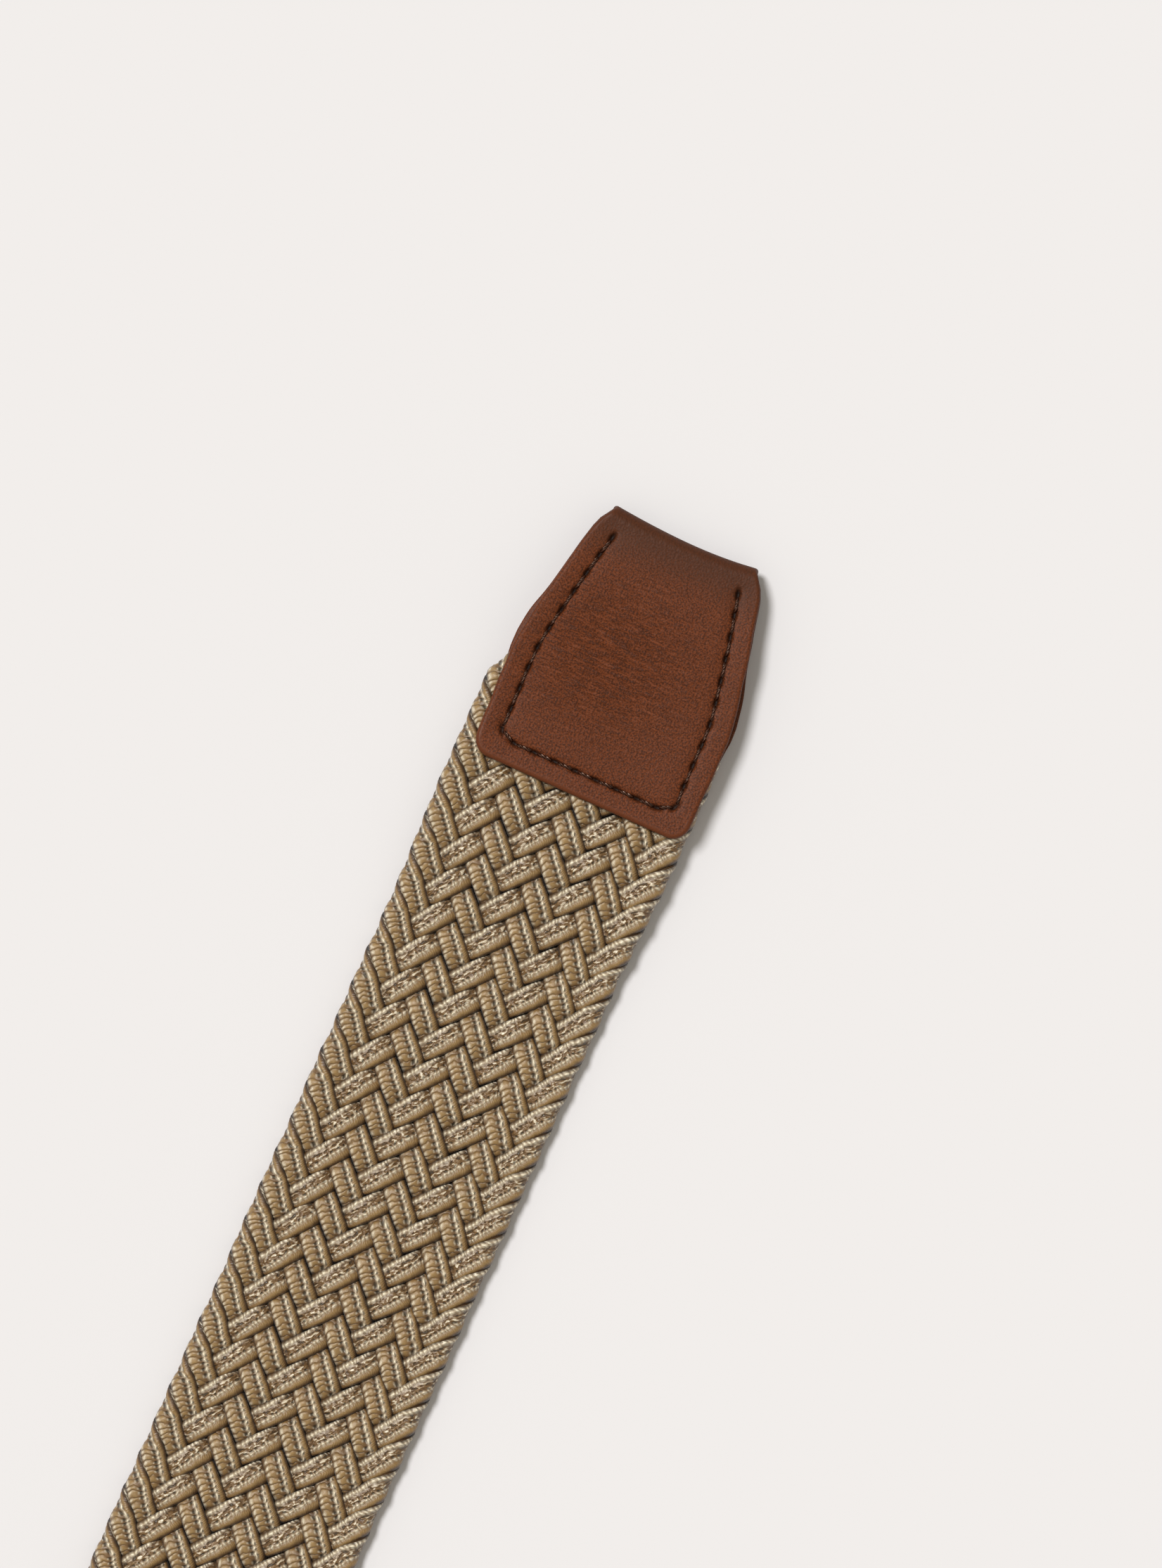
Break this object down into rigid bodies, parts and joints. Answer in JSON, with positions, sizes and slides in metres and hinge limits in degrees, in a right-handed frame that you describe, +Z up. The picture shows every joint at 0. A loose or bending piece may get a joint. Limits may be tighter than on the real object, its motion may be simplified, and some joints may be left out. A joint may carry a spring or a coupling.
{
  "type": "braided stretch belt",
  "caption": "Flat braided stretch belt with a stitched leather tip, leather chape, sliding keeper and end-bar prong buckle; it curls both ways.",
  "frame": {"origin": "under the middle of the whole belt, on the surface it lies on", "axes": "+X along the strap from the buckle to the tip, +Y across the strap, +Z up out of the front face"},
  "size_m": [1.085, 0.0476, 0.0148],
  "materials": {
    "strap": "woven viscose cord over elastic cores, silky, khaki tan",
    "leather": "smooth finished leather, semi-gloss, mid brown, burnished edges",
    "thread": "polyester sewing thread, dark brown",
    "binding": "woven tape, dark",
    "metal": "satin nickel plating"
  },
  "bodies": {
    "chape_end": {"strap_link_01": "strap", "chape_leather": "leather", "chape_front_thread": "thread", "chape_back_thread": "thread", "chape_end_binding": "binding"},
    "strap_02": {"strap_link_02": "strap"},
    "strap_03": {"strap_link_03": "strap"},
    "strap_04": {"strap_link_04": "strap"},
    "strap_05": {"strap_link_05": "strap"},
    "strap_06": {"strap_link_06": "strap"},
    "strap_07": {"strap_link_07": "strap"},
    "strap_08": {"strap_link_08": "strap"},
    "strap_09": {"strap_link_09": "strap"},
    "strap_10": {"strap_link_10": "strap"},
    "strap_11": {"strap_link_11": "strap"},
    "strap_12": {"strap_link_12": "strap"},
    "strap_13": {"strap_link_13": "strap"},
    "strap_14": {"strap_link_14": "strap"},
    "tip_end": {"strap_link_15": "strap", "tip_leather": "leather", "tip_front_thread": "thread", "tip_back_thread": "thread", "tip_end_binding": "binding"},
    "buckle_frame": {"buckle_frame": "metal", "buckle_bar": "metal"},
    "prong": {"buckle_prong": "metal"},
    "keeper": {"keeper_loop": "leather", "keeper_thread": "thread"}
  },
  "joints": [
    {"name": "strap_curl_01", "type": "hinge", "parent": "chape_end", "child": "strap_02", "pos_m": [-0.37649, 0, 0.00175], "axis": [0, -1, 0], "range_deg": [-20, 20]},
    {"name": "strap_curl_02", "type": "hinge", "parent": "strap_02", "child": "strap_03", "pos_m": [-0.31192, 0, 0.00175], "axis": [0, -1, 0], "range_deg": [-20, 20]},
    {"name": "strap_curl_03", "type": "hinge", "parent": "strap_03", "child": "strap_04", "pos_m": [-0.24734, 0, 0.00175], "axis": [0, -1, 0], "range_deg": [-20, 20]},
    {"name": "strap_curl_04", "type": "hinge", "parent": "strap_04", "child": "strap_05", "pos_m": [-0.18276, 0, 0.00175], "axis": [0, -1, 0], "range_deg": [-20, 20]},
    {"name": "strap_curl_05", "type": "hinge", "parent": "strap_05", "child": "strap_06", "pos_m": [-0.11819, 0, 0.00175], "axis": [0, -1, 0], "range_deg": [-20, 20]},
    {"name": "strap_curl_06", "type": "hinge", "parent": "strap_06", "child": "strap_07", "pos_m": [-0.05361, 0, 0.00175], "axis": [0, -1, 0], "range_deg": [-20, 20]},
    {"name": "strap_curl_07", "type": "hinge", "parent": "strap_07", "child": "strap_08", "pos_m": [0.01097, 0, 0.00175], "axis": [0, -1, 0], "range_deg": [-20, 20]},
    {"name": "strap_curl_08", "type": "hinge", "parent": "strap_08", "child": "strap_09", "pos_m": [0.07554, 0, 0.00175], "axis": [0, -1, 0], "range_deg": [-20, 20]},
    {"name": "strap_curl_09", "type": "hinge", "parent": "strap_09", "child": "strap_10", "pos_m": [0.14012, 0, 0.00175], "axis": [0, -1, 0], "range_deg": [-20, 20]},
    {"name": "strap_curl_10", "type": "hinge", "parent": "strap_10", "child": "strap_11", "pos_m": [0.2047, 0, 0.00175], "axis": [0, -1, 0], "range_deg": [-20, 20]},
    {"name": "strap_curl_11", "type": "hinge", "parent": "strap_11", "child": "strap_12", "pos_m": [0.26927, 0, 0.00175], "axis": [0, -1, 0], "range_deg": [-20, 20]},
    {"name": "strap_curl_12", "type": "hinge", "parent": "strap_12", "child": "strap_13", "pos_m": [0.33385, 0, 0.00175], "axis": [0, -1, 0], "range_deg": [-20, 20]},
    {"name": "strap_curl_13", "type": "hinge", "parent": "strap_13", "child": "strap_14", "pos_m": [0.39843, 0, 0.00175], "axis": [0, -1, 0], "range_deg": [-20, 20]},
    {"name": "strap_curl_14", "type": "hinge", "parent": "strap_14", "child": "tip_end", "pos_m": [0.46301, 0, 0.00175], "axis": [0, -1, 0], "range_deg": [-20, 20]},
    {"name": "buckle_swing", "type": "hinge", "parent": "chape_end", "child": "buckle_frame", "pos_m": [-0.50749, 0, 0.00445], "axis": [0, 1, 0], "range_deg": [-90, 45]},
    {"name": "prong_lift", "type": "hinge", "parent": "buckle_frame", "child": "prong", "pos_m": [-0.50749, 0, 0.00445], "axis": [0, 1, 0], "range_deg": [0, 75]},
    {"name": "keeper_slide", "type": "slide", "parent": "chape_end", "child": "keeper", "axis": [1, 0, 0], "range_m": [0, 0.038]}
  ],
  "couplings": [
    {"joint": "strap_curl_02", "follows": "strap_curl_01", "ratio": 1},
    {"joint": "strap_curl_03", "follows": "strap_curl_01", "ratio": 1},
    {"joint": "strap_curl_04", "follows": "strap_curl_01", "ratio": 1},
    {"joint": "strap_curl_05", "follows": "strap_curl_01", "ratio": 1},
    {"joint": "strap_curl_06", "follows": "strap_curl_01", "ratio": 1},
    {"joint": "strap_curl_07", "follows": "strap_curl_01", "ratio": 1},
    {"joint": "strap_curl_08", "follows": "strap_curl_01", "ratio": 1},
    {"joint": "strap_curl_09", "follows": "strap_curl_01", "ratio": 1},
    {"joint": "strap_curl_10", "follows": "strap_curl_01", "ratio": 1},
    {"joint": "strap_curl_11", "follows": "strap_curl_01", "ratio": 1},
    {"joint": "strap_curl_12", "follows": "strap_curl_01", "ratio": 1},
    {"joint": "strap_curl_13", "follows": "strap_curl_01", "ratio": 1},
    {"joint": "strap_curl_14", "follows": "strap_curl_01", "ratio": 1}
  ]
}
